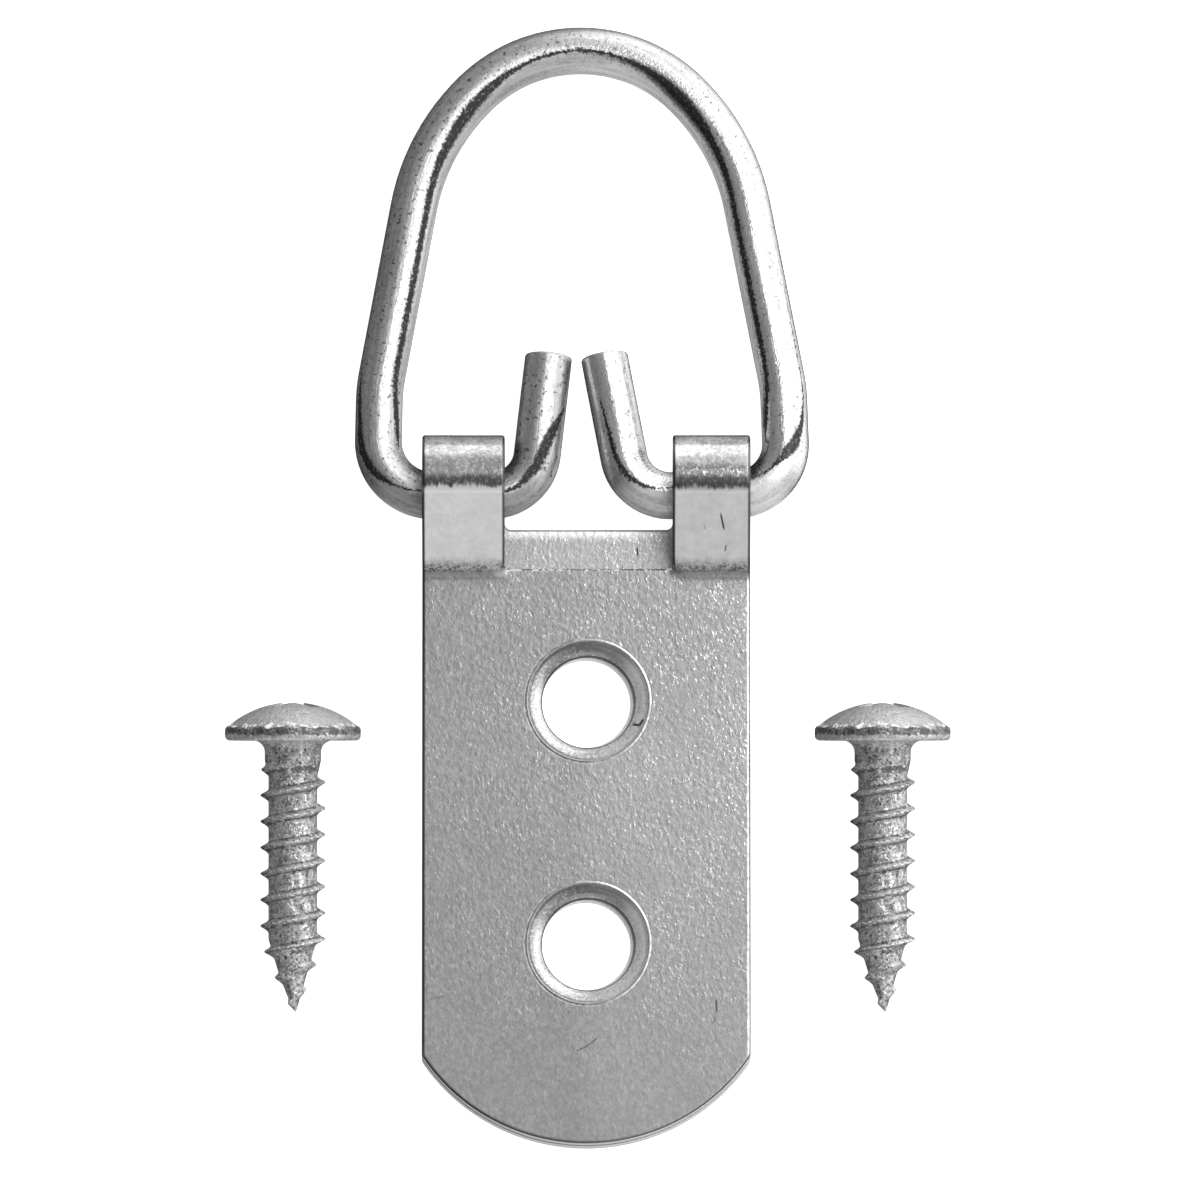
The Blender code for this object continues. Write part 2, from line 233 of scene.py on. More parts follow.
def build_strap():
    path = strap_path()
    h = SHEET / 2
    half = STRAP_W / 2
    low_front = TOE_CENTRE_Y - FRONT_TOE_R
    low_back = TOE_CENTRE_Y - BACK_TOE_R

    def s_front(y):
        lo, hi = 0.0, path.length / 2
        for _ in range(60):
            mid = (lo + hi) / 2
            lo, hi = (mid, hi) if path.at(mid)[0].x < y else (lo, mid)
        return lo

    def s_back(y):
        return path.length - (y - low_back)

    rows = path.marks(0.45, 3.6)
    corner_front = s_front(TOE_CENTRE_Y - math.sqrt(FRONT_TOE_R ** 2 - half ** 2))
    corner_back = s_back(TOE_CENTRE_Y - math.sqrt(BACK_TOE_R ** 2 - half ** 2))

    # Outline of the flat blank: toe, right side, other toe, left side.
    def toe(radius, place):
        reach = math.asin(half / radius)
        n = 72
        return [(radius * math.sin(reach * (2 * k / n - 1)),
                 place(TOE_CENTRE_Y - radius * math.cos(reach * (2 * k / n - 1))))
                for k in range(n + 1)]

    nip = 0.12               # how far each lower corner is eased
    side = ([corner_front + nip] + [s for s in rows if corner_front + 0.3 < s < corner_back - 0.3]
            + [corner_back - nip])

    def eased(a, corner, b):
        a, corner, b = Vector(a), Vector(corner), Vector(b)
        return [tuple(a * (1 - t) ** 2 + corner * 2 * t * (1 - t) + b * t * t)
                for t in (k / 6 for k in range(1, 6))]

    def trimmed(arc, corner_s):
        return [p for p in arc if math.hypot(half - abs(p[0]), p[1] - corner_s) > nip]

    front_arc = trimmed(toe(FRONT_TOE_R, lambda y: y - low_front), corner_front)
    back_arc = trimmed(toe(BACK_TOE_R, s_back), corner_back)[::-1]
    outer = list(front_arc)
    outer += eased(front_arc[-1], (half, corner_front), (half, side[0]))
    outer += [(half, s) for s in side]
    outer += eased((half, side[-1]), (half, corner_back), back_arc[0])
    outer += back_arc
    outer += eased(back_arc[-1], (-half, corner_back), (-half, side[-1]))
    outer += [(-half, s) for s in side[::-1]]
    outer += eased((-half, side[0]), (-half, corner_front), front_arc[0])

    # Window slot, and the back leaf's holes, walked with the metal on the left.
    x0, x1 = WINDOW_X
    s0, s1 = s_front(WINDOW_FRONT_Y), s_back(WINDOW_BACK_Y)
    c = WINDOW_CORNER
    window = []

    def turn_corner(cx, cs, a0):
        return [(cx + c * math.cos(math.radians(a0 - 15 * k)),
                 cs + c * math.sin(math.radians(a0 - 15 * k))) for k in range(7)]

    inner_rows = [s for s in rows if s0 + c + 0.05 < s < s1 - c - 0.05]
    spread = [x0 + c + (x1 - x0 - 2 * c) * k / 24 for k in range(1, 24)]
    window += turn_corner(x0 + c, s0 + c, 270)
    window += [(x0, s) for s in inner_rows]
    window += turn_corner(x0 + c, s1 - c, 180)
    window += [(x, s1) for x in spread]
    window += turn_corner(x1 - c, s1 - c, 90)
    window += [(x1, s) for s in inner_rows[::-1]]
    window += turn_corner(x1 - c, s0 + c, 0)
    window += [(x, s0) for x in spread[::-1]]

    def circle(cx, cs, r, n=96):
        return [(cx + r * math.cos(-2 * math.pi * k / n),
                 cs + r * math.sin(-2 * math.pi * k / n)) for k in range(n)]

    back_holes = [(HOLE_X + BACK_HOLE_SHIFT[0], s_back(y + BACK_HOLE_SHIFT[1]))
                  for y in (HOLE_PITCH / 2, -HOLE_PITCH / 2)]
    front_holes = [(HOLE_X, y - low_front) for y in (HOLE_PITCH / 2, -HOLE_PITCH / 2)]

    flat = []                # (x, s, w) of every point of the blank
    cut_edge = []            # 1 on the sheared wall, 0 on the faces
    faces = []

    def add_rings(rings, wear):
        """Rings of points joined into a strip; gives the first and last ring."""
        starts = []
        for ring, edge in zip(rings, wear):
            starts.append(len(flat))
            flat.extend(ring)
            cut_edge.extend([edge] * len(ring))
        n = len(rings[0])
        for a, b in zip(starts, starts[1:]):
            for k in range(n):
                m = (k + 1) % n
                faces.append((a + k, a + m, b + m, b + k))
        return ([starts[0] + k for k in range(n)], [starts[-1] + k for k in range(n)])

    def edge_rings(loop, r_front, r_back):
        normals = []
        n = len(loop)
        for k in range(n):
            a, b, e = Vector(loop[k - 1]), Vector(loop[k]), Vector(loop[(k + 1) % n])
            t = ((b - a).normalized() + (e - b).normalized()).normalized()
            normals.append(Vector((-t.y, t.x)))      # into the metal
        levels = [(r_front + 0.05, h), (r_front, h)]
        for k in range(1, 6):
            ang = math.pi / 2 * k / 5
            levels.append((r_front * (1 - math.sin(ang)), h - r_front * (1 - math.cos(ang))))
        for k in range(5):
            ang = math.pi / 2 * k / 5
            levels.append((r_back * (1 - math.cos(ang)), -h + r_back * (1 - math.sin(ang))))
        levels += [(r_back, -h), (r_back + 0.05, -h)]
        return ([[(p[0] + nv.x * d, p[1] + nv.y * d, w) for p, nv in zip(loop, normals)]
                 for d, w in levels],
                [clamp(1 - d / (1.1 * EDGE_R)) for d, w in levels])

    fronts, backs = [], []
    for loop in [outer, window] + [circle(x, s, BACK_HOLE_R) for x, s in back_holes]:
        first, last = add_rings(*edge_rings(loop, EDGE_R, 0.12))
        fronts.append(first)
        backs.append(last)
    profile = csk_profile()
    for x, s in front_holes:
        first, last = add_rings([[(px, ps, w) for px, ps in circle(x, s, r)]
                                 for r, w in profile],
                                [ease(CSK_THROAT_R + 0.05, CSK_THROAT_R - 0.03, r)
                                 for r, w in profile])
        fronts.append(first)
        backs.append(last)

    # Points inside the flats, kept off the edges and holes.
    clear = 0.34
    grid = []
    columns = [-half + 0.55 + (STRAP_W - 1.10) * k / 27 for k in range(28)]
    for s in rows:
        for x in columns:
            if abs(x) > half - clear:
                continue
            if s < corner_front + 1.0 and math.hypot(
                    x, s + low_front - TOE_CENTRE_Y) > FRONT_TOE_R - clear:
                continue
            if s > corner_back - 1.0 and math.hypot(
                    x, low_back + path.length - s - TOE_CENTRE_Y) > BACK_TOE_R - clear:
                continue
            if x0 - clear < x < x1 + clear and s0 - clear < s < s1 + clear:
                continue
            if any(math.hypot(x - hx, s - hs) < BACK_HOLE_R + clear for hx, hs in back_holes):
                continue
            if any(math.hypot(x - hx, s - hs) < CSK_BEAD_R + 0.17 + 0.2
                   for hx, hs in front_holes):
                continue
            grid.append((x, s))

    def within(p, loop):
        odd = False
        for a, b in zip(loop, loop[1:] + loop[:1]):
            if (a[1] > p.y) != (b[1] > p.y):
                odd ^= p.x < a[0] + (b[0] - a[0]) * (p.y - a[1]) / (b[1] - a[1])
        return odd

    for loops, w in ((fronts, h), (backs, -h)):
        base = len(flat)
        flat.extend((x, s, w) for x, s in grid)
        cut_edge.extend([0.0] * len(grid))
        index, edges, group = [], [], []
        for number, loop in enumerate(loops):
            start = len(index)
            index += loop
            group += [number] * len(loop)
            edges += [(start + k, start + (k + 1) % len(loop)) for k in range(len(loop))]
        index += range(base, base + len(grid))
        group += [-1] * len(grid)
        result = delaunay_2d_cdt([Vector(flat[i][:2]) for i in index], edges, [], 0, 1e-6)
        origin = [ids[0] for ids in result[3]]
        for tri in result[2]:
            ids = [origin[k] for k in tri]
            kinds = {group[i] for i in ids}
            if len(kinds) == 1 and next(iter(kinds)) > 0:
                continue         # inside a hole
            a, b, e = (Vector(flat[index[i]][:2]) for i in ids)
            if kinds == {0} and not within((a + b + e) / 3, [flat[i] for i in loops[0]]):
                continue         # outside the outline
            if abs((b - a).cross(e - a)) < 2e-4:
                continue         # a sliver along a straight side
            faces.append([index[i] for i in ids])

    # Bend the blank along its path; the sheet is not dead flat.
    verts = []
    for x, s, w in flat:
        p, t = path.at(clamp(s / path.length) * path.length)
        over = s - clamp(s / path.length) * path.length
        wave = 0.010 * noise.noise(Vector((x * 0.16, s * 0.16, 3.1)))
        p = p + t * over + Vector((-t.y, t.x)) * (w + wave)
        if s < s0 + 0.5:         # below the window the front leaf stays flat
            share = (ease(x0 - 0.3, x0 + 0.25, x) * ease(x1 + 0.3, x1 - 0.25, x)
                     * (1 - ease(s0 + 0.2, s0 + 0.45, s)))
            level = Vector((low_front + s, SHEET + LEAF_GAP + SHEET / 2 + w + wave))
            p = p + (level - p) * share
        verts.append((x, p.x, p.y))

    foot = s_front(FOLD_FOOT_Y)
    crest = s_front(FOLD_CREST_Y)
    top = s_back(FOLD_CREST_Y)
    zone = []                # slanted flat, rolled knuckle, back leaf
    for x, s, w in flat:
        zone.append((ease(foot + 0.1, foot + 0.5, s) * (1 - ease(crest - 0.10, crest + 0.15, s)),
                     ease(crest - 0.10, crest + 0.25, s) * (1 - ease(top - 0.6, top + 0.4, s)),
                     ease(top - 0.4, top + 0.6, s)))
    wear = []                # cut edge, crest crease, foot crease
    for (x, s, w), edge in zip(flat, cut_edge):
        wear.append((edge, s - crest, s - foot))
    dish = []                # depth into a countersink, and the way round it
    for x, s, w in flat:
        q = (0.0, 0.0, 0.0)
        for hx, hs in front_holes:
            r = math.hypot(x - hx, s - hs)
            if r < CSK_BEAD_R + 0.03:
                q = ((CSK_R - r) / (CSK_R - CSK_THROAT_R), (x - hx) / r, (s - hs) / r)
        dish.append(q)
    lip = []                 # back leaf in the window, front leaf's edge there, the toes
    for x, s, w in flat:
        inside = ease(x0 - 0.3, x0 + 0.2, x) * ease(x1 + 0.3, x1 - 0.2, x)
        lip.append((ease(s1 - 0.6, s1 - 0.2, s) * (1 - ease(s1 + 3.0, s1 + 3.4, s))
                    * (1 - 0.3 * ease(s1 + 0.1, s1 + 0.6, s)) * ease(0.25, 0.05, w)
                    * ease(x0 - 1.6, x0 - 0.8, x) * ease(x1 + 1.6, x1 + 0.8, x),
                    inside * ease(s0 - 1.6, s0 - 1.3, s) * (1 - ease(s0 + 0.3, s0 + 0.5, s)),
                    max(1 - ease(corner_front - 0.2, corner_front + 0.4, s),
                        ease(corner_back - 0.4, corner_back + 0.2, s))))
    return new_object("strap_sheet", verts, faces,
                      {"sheet": flat, "zone": zone, "wear": wear, "dish": dish, "lip": lip})


# ---------------------------------------------------------------------- ring
def build_ring():
    path = Path([p for p, _ in RING_BENDS], [r for _, r in RING_BENDS])
    marks = path.marks(0.30, 3.0)
    reach = max(path.at(s)[0].y for s in marks) - HINGE_Y
    tilt = -math.asin((HINGE_Z - WIRE_R - FLOOR_CLEAR) / reach)
    place = (Matrix.Translation((0, HINGE_Y, HINGE_Z)) @ Matrix.Rotation(tilt, 4, "X")
             @ Matrix.Translation((0, -HINGE_Y, 0)))
    sides = 48
    total = path.length
    arcs = [span for span in path.spans if span[2] == "arc"]

    def bend(number, part):
        """Distance at a share of the way round one of the bends."""
        return arcs[number][0] + arcs[number][1] * part

    # Rows: (distance, radius), the cut ends eased and capped.
    ease_r = 0.14
    rows = []
    for k in (0.0, 0.3, 0.6, 0.85):
        rows.append((0.0, k * (WIRE_R - ease_r)))
    for k in range(6):
        ang = math.pi / 2 * k / 5
        rows.append((ease_r * (1 - math.cos(ang)), WIRE_R - ease_r * (1 - math.sin(ang))))
    body = [(s, WIRE_R) for s in marks if ease_r + 0.1 < s < total - ease_r - 0.1]
    rows = rows + body + [(total - s, r) for s, r in rows[::-1]]

    # A painted dark reflection runs round the loop, on top at the crown and turned
    # toward the inside on the legs: (angle from the top, half width), degrees.
    def streak(s):
        t = path.at(s)[1]
        steep = abs(math.degrees(math.atan2(t.y, t.x)))
        left = s < total / 2
        low = bend(1, 0.75) if left else bend(8, 0.05)
        gap = s - low if left else low - s
        if gap < 0:
            return 45.0, 0.0
        angle = 11 + 26 * clamp(steep / 78) + 20 * (1 - ease(0.0, 5.5, gap))
        swell = math.exp(-((steep - (50 if left else 46)) / 17) ** 2)
        wide = 5.0 + (5.0 if left else 4.0) * ease(40, 80, steep) + (12.0 if left else 13.0) * swell
        return angle, wide * ease(0.0, 1.5, gap)

    # A second painted dark reflection wanders over the stubs, the feet and the lower legs:
    # (distance, angle from the top, half width).
    low_left, low_right = bend(1, 1.0), bend(8, 0.0)
    trail = [
        (2.60, -70, 0.0), (3.00, -62, 4.0), (3.70, -45, 13.0), (4.60, -27, 17.0),
        (bend(0, 0.0), -15, 18.0), (bend(0, 0.35), -4, 14.0), (bend(0, 0.6), -8, 7.0),
        (bend(0, 1.0), -6, 2.6), (bend(1, 0.0), -4, 2.0), (bend(1, 0.15), -4, 2.0),
        (bend(1, 0.45), -20, 4.0), (bend(1, 0.60), -32, 11.0), (bend(1, 0.80), -43, 14.0),
        (low_left, -50, 12.0), (low_left + 2.0, -56, 6.0), (low_left + 4.5, -60, 0.0),
        (low_right - 10.0, -58, 0.0), (low_right - 8.0, -57, 1.2), (low_right - 4.0, -55, 2.0),
        (low_right - 2.2, -54, 3.2), (low_right - 0.9, -46, 8.0), (bend(8, 0.05), -22, 18.0),
        (bend(8, 0.14), -10, 20.0), (bend(8, 0.28), 2, 11.0), (bend(8, 0.42), 11, 3.5),
        (bend(8, 0.70), 22, 1.8), (bend(8, 1.0), 18, 1.6), (bend(9, 0.0), 8, 1.6),
        (bend(9, 0.20), 2, 2.2), (bend(9, 0.45), -7, 5.5), (bend(9, 0.75), -16, 9.0),
        (bend(9, 1.0), -22, 8.0), (bend(9, 1.0) + 2.0, -30, 4.5), (total - 2.0, -35, 0.0),
    ]

    def second(s):
        if not trail[0][0] < s < trail[-1][0]:
            return -60.0, 0.0
        for a, b in zip(trail, trail[1:]):
            if a[0] <= s <= b[0]:
                t = (s - a[0]) / (b[0] - a[0])
                return a[1] + (b[1] - a[1]) * t, a[2] + (b[2] - a[2]) * t
        return -60.0, 0.0

    verts, wire, first, other, stretch, faces = [], [], [], [], [], []

    def put(s, r, phi):
        p, t = path.at(s)
        inward = Vector((t.y, -t.x))
        slant = 0.0
        if s < 1.0:
            slant = 0.03 * math.sin(phi) * r / WIRE_R * (1 - ease(0.3, 1.0, s))
        elif s > total - 1.0:
            slant = -0.03 * math.sin(phi) * r / WIRE_R * (1 - ease(0.3, 1.0, total - s))
        flat_p = p + inward * (r * math.sin(phi)) + t * slant
        v = place @ Vector((flat_p.x, flat_p.y, r * math.cos(phi)))
        verts.append(v)
        wire.append((s, r * math.cos(phi), r * math.sin(phi)))
        for store, (angle, wide) in ((first, streak(s)), (other, second(s))):
            turn = phi - math.radians(angle)
            store.append((math.cos(turn), math.sin(turn), math.radians(wide)))
        steep = abs(math.degrees(math.atan2(t.y, t.x)))
        loop = ease(bend(1, 0.55), bend(1, 0.95), s) * (1 - ease(bend(8, 0.05), bend(8, 0.35), s))
        feet = max(ease(bend(0, 0.2), bend(0, 0.6), s) * (1 - ease(bend(1, 0.3), bend(1, 0.7), s)),
                   ease(bend(8, 0.35), bend(8, 0.7), s) * (1 - ease(bend(9, 0.4), bend(9, 0.8), s)))
        stretch.append((loop * (1 - ease(22, 58, steep)), feet, loop))

    starts = []
    for s, r in rows:
        starts.append(len(verts))
        if r == 0.0:
            put(s, 0.0, 0.0)
            continue
        for k in range(sides):
            put(s, r, 2 * math.pi * k / sides)
    for i in range(len(rows) - 1):
        a, b = starts[i], starts[i + 1]
        for k in range(sides):
            m = (k + 1) % sides
            if rows[i][1] == 0.0:
                faces.append((a, b + m, b + k))
            elif rows[i + 1][1] == 0.0:
                faces.append((a + k, a + m, b))
            else:
                faces.append((a + k, a + m, b + m, b + k))
    return new_object("ring_wire", verts, faces,
                      {"wire": wire, "streak": first, "trail": other, "stretch": stretch})


# -------------------------------------------------------------------- screws
def core_radius(z):
    run_out = clamp((-z - THREAD_START) / 0.9)
    body = NECK_R + (ROOT_R - NECK_R) * run_out
    to_tip = (SHANK_L + z) / POINT_L
    if to_tip < 1.0:
        body = ROOT_R * max(to_tip, 0.0) ** 0.85
    return body


def thread_rise(z, turn):
    if z > -THREAD_START:
        return 0.0
    phase = (z / PITCH - turn + SCREW_PHASE) % 1.0
    off = abs(phase - 0.5) / (0.27 if phase < 0.5 else 0.23)
    ridge = max(0.0, 1.0 - math.hypot(off, 0.07) + 0.07) ** 1.9 if off < 1.0 else 0.0
    start = clamp((-z - THREAD_START) / 0.7)
    to_tip = (SHANK_L + z) / POINT_L
    end = clamp(0.25 + 0.9 * to_tip) if to_tip < 1.0 else 1.0
    return (CREST_R - ROOT_R) * ridge * start * end


def screw_rows():
    """(radius, height) rows from the top of the head to the point."""
    edge_r, edge_z = DOME_R + 0.18, DOME_FOOT - 0.03
    dome = HEAD_H - edge_z
    ball = (edge_r ** 2 + dome ** 2) / (2 * dome)
    rows = [(0.0, HEAD_H)]
    for k in range(1, 25):
        r = edge_r * k / 24
        rows.append((r, HEAD_H - ball + math.sqrt(ball ** 2 - r ** 2)))
    # a rounded shoulder runs from the dome into the rim
    for k in range(1, 7):
        t = k / 6
        a, b, e = Vector((edge_r, edge_z)), Vector((HEAD_R, edge_z - 0.07)), Vector((HEAD_R, edge_z - 0.28))
        p = a * (1 - t) ** 2 + b * 2 * t * (1 - t) + e * t * t
        rows.append((p.x, p.y))
    low = 0.26
    for k in range(6):
        ang = math.pi / 2 * k / 5
        rows.append((HEAD_R - low * (1 - math.cos(ang)), low * (1 - math.sin(ang))))
    for k in range(1, 6):
        r = HEAD_R - low - (HEAD_R - low - NECK_R - 0.66) * k / 5
        rows.append((r, 0.0))
    fillet = 0.62
    for k in range(8):
        ang = math.pi / 2 * k / 7
        rows.append((NECK_R + fillet * (1 - math.sin(ang)), -fillet * (1 - math.cos(ang))))
    count = round((SHANK_L - 0.55) / PITCH * 22)
    for k in range(count):
        z = -0.55 - (SHANK_L - 0.55) * k / count
        rows.append((core_radius(z), z))
    rows.append((0.0, -SHANK_L))
    return rows


def build_screw(name, x, roll):
    rows = screw_rows()
    sides = 72
    local, faces, starts = [], [], []
    for r, z in rows:
        starts.append(len(local))
        if r == 0.0:
            local.append(Vector((0, 0, z)))
            continue
        for k in range(sides):
            turn = k / sides
            rr = r + thread_rise(z, turn + roll)
            ang = 2 * math.pi * turn
            local.append(Vector((rr * math.cos(ang), rr * math.sin(ang), z)))
    for i in range(len(rows) - 1):
        a, b = starts[i], starts[i + 1]
        for k in range(sides):
            m = (k + 1) % sides
            if rows[i][0] == 0.0:
                faces.append((a, b + k, b + m))
            elif rows[i + 1][0] == 0.0:
                faces.append((a + k, b, a + m))
            else:
                faces.append((a + k, b + k, b + m, a + m))
    # the drawn point leans a little
    for v in local:
        t = clamp((-v.z - (SHANK_L - 2.6)) / 2.6)
        v.x += 0.14 * t * t

    last_crest = -(SHANK_L - POINT_L - 0.4)
    tilt = math.atan2(HEAD_R - CREST_R, 0.14 - last_crest)
    turn = Matrix.Rotation(tilt - math.pi / 2, 4, "X")
    lowest = min((turn @ v).z for v in local)
    place = Matrix.Translation((x, SCREW_HEAD_Y, FLOOR_CLEAR - lowest)) @ turn

    ob = new_object(name, [place @ v for v in local], faces, {"turned": local})

    # Cross recess: one tapered cross cut from the dome.
    def cross(arm, half):
        ring = []
        for quarter in range(4):
            ang = math.radians(50 + 90 * quarter)
            way, side = Vector((math.cos(ang), math.sin(ang))), Vector((-math.sin(ang), math.cos(ang)))
            ring += [way * arm - side * half, way * arm + side * half, way * half + side * half]
        return ring

    levels = [(2.05, 0.43, HEAD_H + 0.25), (0.72, 0.29, HEAD_H - 1.25)]
    bm = bmesh.new()
    rings = [[bm.verts.new((place @ Vector((q.x, q.y, z))) * MM) for q in cross(arm, half)]
             for arm, half, z in levels]
    for k in range(12):
        m = (k + 1) % 12
        bm.faces.new((rings[0][k], rings[0][m], rings[1][m], rings[1][k]))
    for ring in rings:
        bm.faces.new([ring[k] for k in (2, 5, 8, 11)])
        for k in (0, 3, 6, 9):
            bm.faces.new((ring[k - 1], ring[k], ring[k + 1], ring[k + 2]))
    bmesh.ops.recalc_face_normals(bm, faces=bm.faces)
    mesh = bpy.data.meshes.new("cross")
    bm.to_mesh(mesh)
    bm.free()
    cutter = bpy.data.objects.new("cross", mesh)
    bpy.context.scene.collection.objects.link(cutter)
    mod = ob.modifiers.new("recess", "BOOLEAN")
    mod.operation = "DIFFERENCE"
    mod.solver = "EXACT"
    mod.object = cutter
    bpy.context.view_layer.update()
    deps = bpy.context.evaluated_depsgraph_get()
    cut_mesh = bpy.data.meshes.new_from_object(ob.evaluated_get(deps))
    ob.modifiers.clear()
    ob.data = cut_mesh
    bpy.data.objects.remove(cutter, do_unlink=True)

    # the walls of the recess get their place on the screw, and their depth
    edge_r, edge_z = DOME_R + 0.18, DOME_FOOT - 0.03
    ball = (edge_r ** 2 + (HEAD_H - edge_z) ** 2) / (2 * (HEAD_H - edge_z))
    back = place.inverted()
    spots, depth = [], []
    for v in cut_mesh.vertices:
        q = back @ (v.co / MM)
        r = math.hypot(q.x, q.y)
        below = HEAD_H - ball + math.sqrt(max(ball ** 2 - r ** 2, 0.0)) - q.z
        spots += [q.x, q.y, q.z]
        depth += [clamp(below / 0.5) if r < 2.3 and q.z > 0.6 else 0.0, 0.0, 0.0]
    cut_mesh.attributes["turned"].data.foreach_set("vector", spots)
    cut_mesh.attributes.new("cut", "FLOAT_VECTOR", "POINT").data.foreach_set("vector", depth)
    ob.data.shade_smooth()
    ob.data.set_sharp_from_angle(angle=math.radians(38))
    return ob


# ----------------------------------------------------------------- materials
class Finish:
    """A Principled material and short ways to wire its nodes."""

    def __init__(self, name):
        self.mat = bpy.data.materials.new(name)
        self.mat.use_nodes = True
        self.tree = self.mat.node_tree
        self.bsdf = self.tree.nodes["Principled BSDF"]

    def node(self, kind, **settings):
        n = self.tree.nodes.new(kind)
        for key, value in settings.items():
            setattr(n, key, value)
        return n

    def feed(self, socket, value):
        if hasattr(value, "is_output"):
            self.tree.links.new(value, socket)
        else:
            socket.default_value = value

    def attribute(self, name):
        return self.node("ShaderNodeAttribute", attribute_name=name).outputs["Vector"]

    def split(self, vector):
        n = self.node("ShaderNodeSeparateXYZ")
        self.feed(n.inputs[0], vector)
        return n.outputs

    def join(self, x, y, z):
        n = self.node("ShaderNodeCombineXYZ")
        for socket, value in zip(n.inputs, (x, y, z)):
            self.feed(socket, value)
        return n.outputs[0]

    def math(self, operation, a, b=0.0, c=0.0):
        n = self.node("ShaderNodeMath", operation=operation)
        for socket, value in zip(n.inputs, (a, b, c)):
            self.feed(socket, value)
        return n.outputs[0]

    def vector(self, operation, a, b):
        n = self.node("ShaderNodeVectorMath", operation=operation)
        self.feed(n.inputs[0], a)
        self.feed(n.inputs[1], b)
        return n.outputs[0]

    def noise(self, vector, scale, detail=2.0, rough=0.5, warp=0.0):
        n = self.node("ShaderNodeTexNoise")
        self.feed(n.inputs["Vector"], vector)
        n.inputs["Scale"].default_value = scale
        n.inputs["Detail"].default_value = detail
        n.inputs["Roughness"].default_value = rough
        n.inputs["Distortion"].default_value = warp
        return n.outputs["Fac"]

    def cells(self, vector, scale, randomness=1.0, flat=True):
        n = self.node("ShaderNodeTexVoronoi", feature="F1", voronoi_dimensions=flat and "2D" or "3D")
        self.feed(n.inputs["Vector"], vector)
        n.inputs["Scale"].default_value = scale
        n.inputs["Randomness"].default_value = randomness
        return n.outputs["Distance"], n.outputs["Color"]

    def span(self, value, lo, hi, out_lo=0.0, out_hi=1.0, smooth=True):
        n = self.node("ShaderNodeMapRange",
                      interpolation_type="SMOOTHSTEP" if smooth else "LINEAR")
        n.clamp = True
        self.feed(n.inputs["Value"], value)
        for key, v in (("From Min", lo), ("From Max", hi), ("To Min", out_lo), ("To Max", out_hi)):
            self.feed(n.inputs[key], v)
        return n.outputs["Result"]

    def mix(self, fac, a, b):
        """Grey levels or colours mixed by fac."""
        n = self.node("ShaderNodeMix", data_type="RGBA")
        self.feed(n.inputs[0], fac)
        for socket, value in ((n.inputs[6], a), (n.inputs[7], b)):
            if isinstance(value, (int, float)):
                value = (value, value, value, 1.0)
            elif isinstance(value, tuple):
                value = (*value, 1.0)
            self.feed(socket, value)
        return n.outputs[2]

    def stroke(self, vector, x, y, angle, length, width):
        """Mask of one short mark, centred on (x, y), on the first two axes."""
        n = self.node("ShaderNodeMapping", vector_type="TEXTURE")
        self.feed(n.inputs["Vector"], vector)
        n.inputs["Location"].default_value = (x, y, 0.0)
        n.inputs["Rotation"].default_value = (0.0, 0.0, math.radians(angle))
        px, py, _ = self.split(n.outputs[0])
        across = self.span(self.math("ABSOLUTE", py), width * 0.25, width * 0.6, 1.0, 0.0)
        run = self.span(self.math("ABSOLUTE", px), length * 0.30, length * 0.55, 1.0, 0.0)
        return self.math("MULTIPLY", across, run)

    def bump(self, height, strength, distance, normal=None):
        n = self.node("ShaderNodeBump")
        n.inputs["Strength"].default_value = strength
        n.inputs["Distance"].default_value = distance
        self.feed(n.inputs["Height"], height)
        if normal is not None:
            self.feed(n.inputs["Normal"], normal)
        return n.outputs[0]

    def set(self, **sockets):
        for key, value in sockets.items():
            self.feed(self.bsdf.inputs[key.replace("_", " ")], value)


